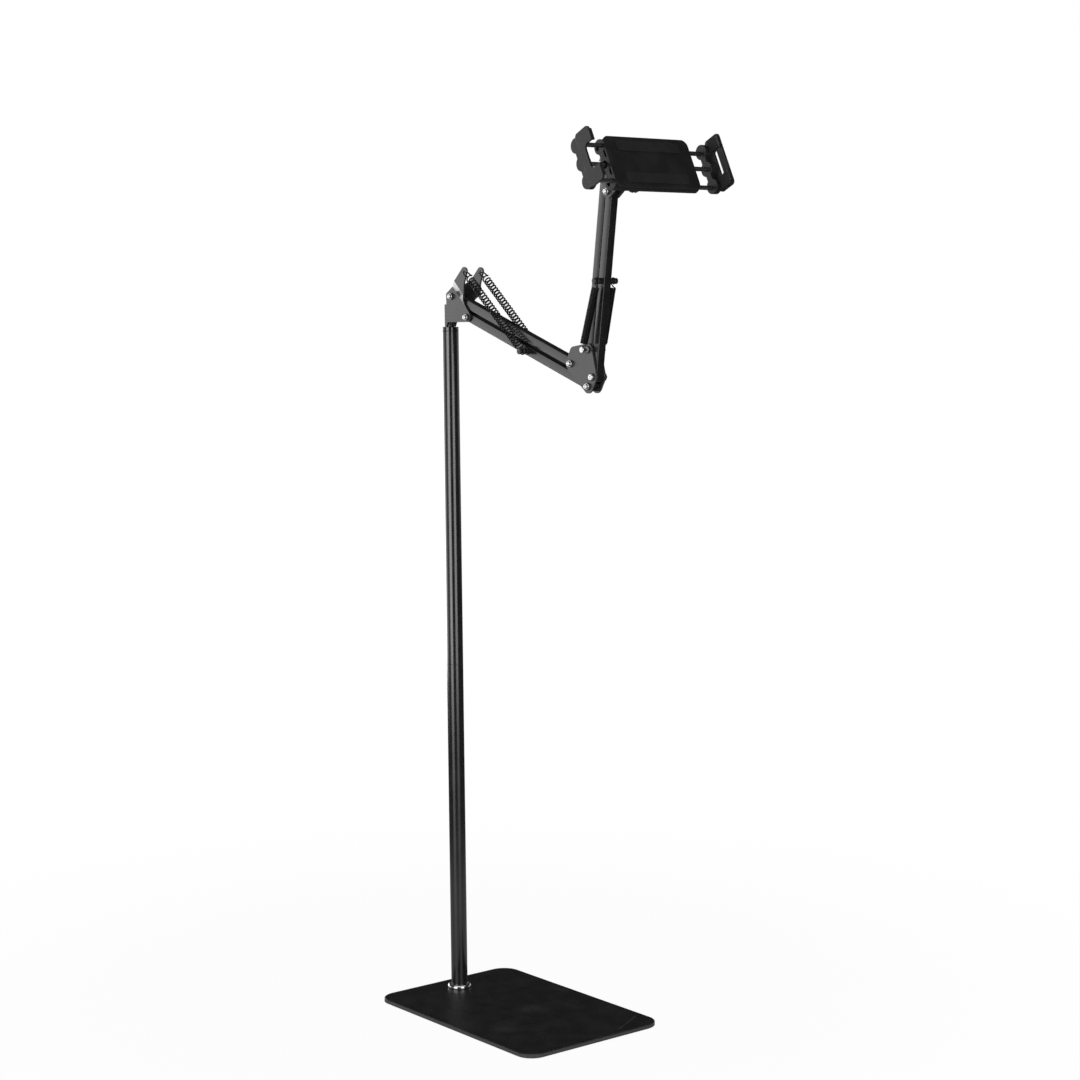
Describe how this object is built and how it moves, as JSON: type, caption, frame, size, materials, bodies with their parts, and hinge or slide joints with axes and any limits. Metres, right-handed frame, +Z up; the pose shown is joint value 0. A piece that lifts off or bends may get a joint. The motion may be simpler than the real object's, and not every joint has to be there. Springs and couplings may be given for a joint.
{
  "type": "tablet floor stand",
  "caption": "Floor stand for a tablet: flat rectangular base, slim round pole, sprung folding arm with an elbow, ball joint and a sliding two-jaw clamp.",
  "frame": {"origin": "on the floor, on the pole's axis", "axes": "+Z up along the pole, +X forward, the way the arm reaches, +Y to the side of the arm's nuts"},
  "size_m": [0.4325, 0.2, 1.0279],
  "materials": {
    "base_paint": "satin black powder coat",
    "pole_paint": "semi-gloss black paint",
    "collar_black": "glossy black",
    "chrome": "polished chrome",
    "bracket_paint": "dark grey metallic powder coat",
    "bar_paint": "satin black paint",
    "zinc": "bright zinc plate",
    "black_steel": "black oxide",
    "spring_steel": "blackened spring wire",
    "clamp_plastic": "dark grey moulded plastic",
    "ball_steel": "polished steel",
    "rubber": "black rubber"
  },
  "bodies": {
    "stand": {"base_plate": "base_paint", "base_pad": "rubber", "base_screw": "zinc", "base_ring": "chrome", "pole_foot_plug": "zinc", "lower_pole": "pole_paint", "pole_joint_stud": "zinc", "pole_joint_socket": "zinc", "upper_pole": "pole_paint", "pole_collar": "collar_black"},
    "shoulder": {"swivel_pin": "black_steel", "pin_clip": "black_steel", "shoulder_bracket": "bracket_paint", "shoulder_screws": "zinc", "shoulder_nuts": "zinc", "lower_spring_left": "spring_steel", "lower_spring_right": "spring_steel"},
    "lower_arm": {"lower_arm_lower_bar": "bar_paint", "lower_spring_post": "black_steel"},
    "lower_link": {"lower_arm_upper_bar": "bar_paint"},
    "elbow": {"elbow_plate_left": "bracket_paint", "elbow_plate_right": "bracket_paint", "elbow_screws": "zinc", "elbow_nuts": "zinc", "elbow_spring_post": "zinc", "upper_spring_left": "spring_steel", "upper_spring_right": "spring_steel"},
    "upper_arm": {"upper_arm_front_bar": "bar_paint", "upper_spring_pin": "black_steel"},
    "upper_link": {"upper_arm_rear_bar": "bar_paint"},
    "head": {"head_bracket": "bracket_paint", "head_screws": "zinc", "head_nuts": "zinc", "ball_stud": "ball_steel", "ball_stud_nut": "zinc"},
    "ball_liner": {"friction_pad": "rubber"},
    "socket": {"ball_socket": "clamp_plastic", "lock_nut": "clamp_plastic"},
    "clamp": {"clamp_front_shell": "clamp_plastic", "clamp_back_shell": "clamp_plastic", "clamp_screws": "black_steel", "clamp_grip_pads": "rubber", "clamp_spring": "spring_steel"},
    "left_jaw": {"left_jaw": "clamp_plastic", "left_jaw_pads": "rubber", "left_guide_rods": "chrome", "left_plunger": "zinc"},
    "right_jaw": {"right_jaw": "clamp_plastic", "right_jaw_pads": "rubber", "right_guide_rods": "chrome", "right_plunger": "zinc"}
  },
  "joints": [
    {"name": "arm_swivel", "type": "hinge", "parent": "stand", "child": "shoulder", "pos_m": [0, 0, 0.82], "axis": [0, 0, 1], "continuous": true},
    {"name": "lower_arm_lift", "type": "hinge", "parent": "shoulder", "child": "lower_arm", "pos_m": [0.043, 0, 0.8317], "axis": [0, -1, 0], "range_deg": [-5, 75], "deforming": ["lower_spring_left", "lower_spring_right"]},
    {"name": "lower_link_swing", "type": "hinge", "parent": "shoulder", "child": "lower_link", "pos_m": [0.0131, 0, 0.8569], "axis": [0, -1, 0], "range_deg": [-5, 75]},
    {"name": "elbow_level", "type": "hinge", "parent": "lower_arm", "child": "elbow", "pos_m": [0.26763, 0, 0.75304], "axis": [0, -1, 0], "range_deg": [-75, 5]},
    {"name": "upper_arm_lift", "type": "hinge", "parent": "elbow", "child": "upper_arm", "pos_m": [0.27482, 0, 0.76344], "axis": [0, 1, 0], "range_deg": [-2, 90], "deforming": ["upper_spring_left", "upper_spring_right"]},
    {"name": "upper_link_swing", "type": "hinge", "parent": "elbow", "child": "upper_link", "pos_m": [0.26763, 0, 0.79384], "axis": [0, 1, 0], "range_deg": [-2, 90]},
    {"name": "head_level", "type": "hinge", "parent": "upper_arm", "child": "head", "pos_m": [0.30353, 0, 0.96642], "axis": [0, 1, 0], "range_deg": [-90, 2]},
    {"name": "ball_pan", "type": "hinge", "parent": "head", "child": "ball_liner", "pos_m": [0.34043, 0, 0.97932], "axis": [0, 0, 1], "range_deg": [-25, 25]},
    {"name": "ball_tilt", "type": "hinge", "parent": "ball_liner", "child": "socket", "pos_m": [0.34043, 0, 0.97932], "axis": [0, -1, 0], "range_deg": [-55, 8]},
    {"name": "clamp_turn", "type": "hinge", "parent": "socket", "child": "clamp", "pos_m": [0.37657, 0, 0.99647], "axis": [0.9033, 0, 0.4289], "continuous": true},
    {"name": "left_jaw_slide", "type": "slide", "parent": "clamp", "child": "left_jaw", "axis": [0, -1, 0], "range_m": [-0.024, 0.02], "deforming": ["clamp_spring"]},
    {"name": "right_jaw_slide", "type": "slide", "parent": "clamp", "child": "right_jaw", "axis": [0, 1, 0], "range_m": [-0.024, 0.02]}
  ],
  "couplings": [
    {"joint": "lower_link_swing", "follows": "lower_arm_lift", "ratio": 1},
    {"joint": "elbow_level", "follows": "lower_arm_lift", "ratio": -1},
    {"joint": "upper_link_swing", "follows": "upper_arm_lift", "ratio": 1},
    {"joint": "head_level", "follows": "upper_arm_lift", "ratio": -1}
  ]
}
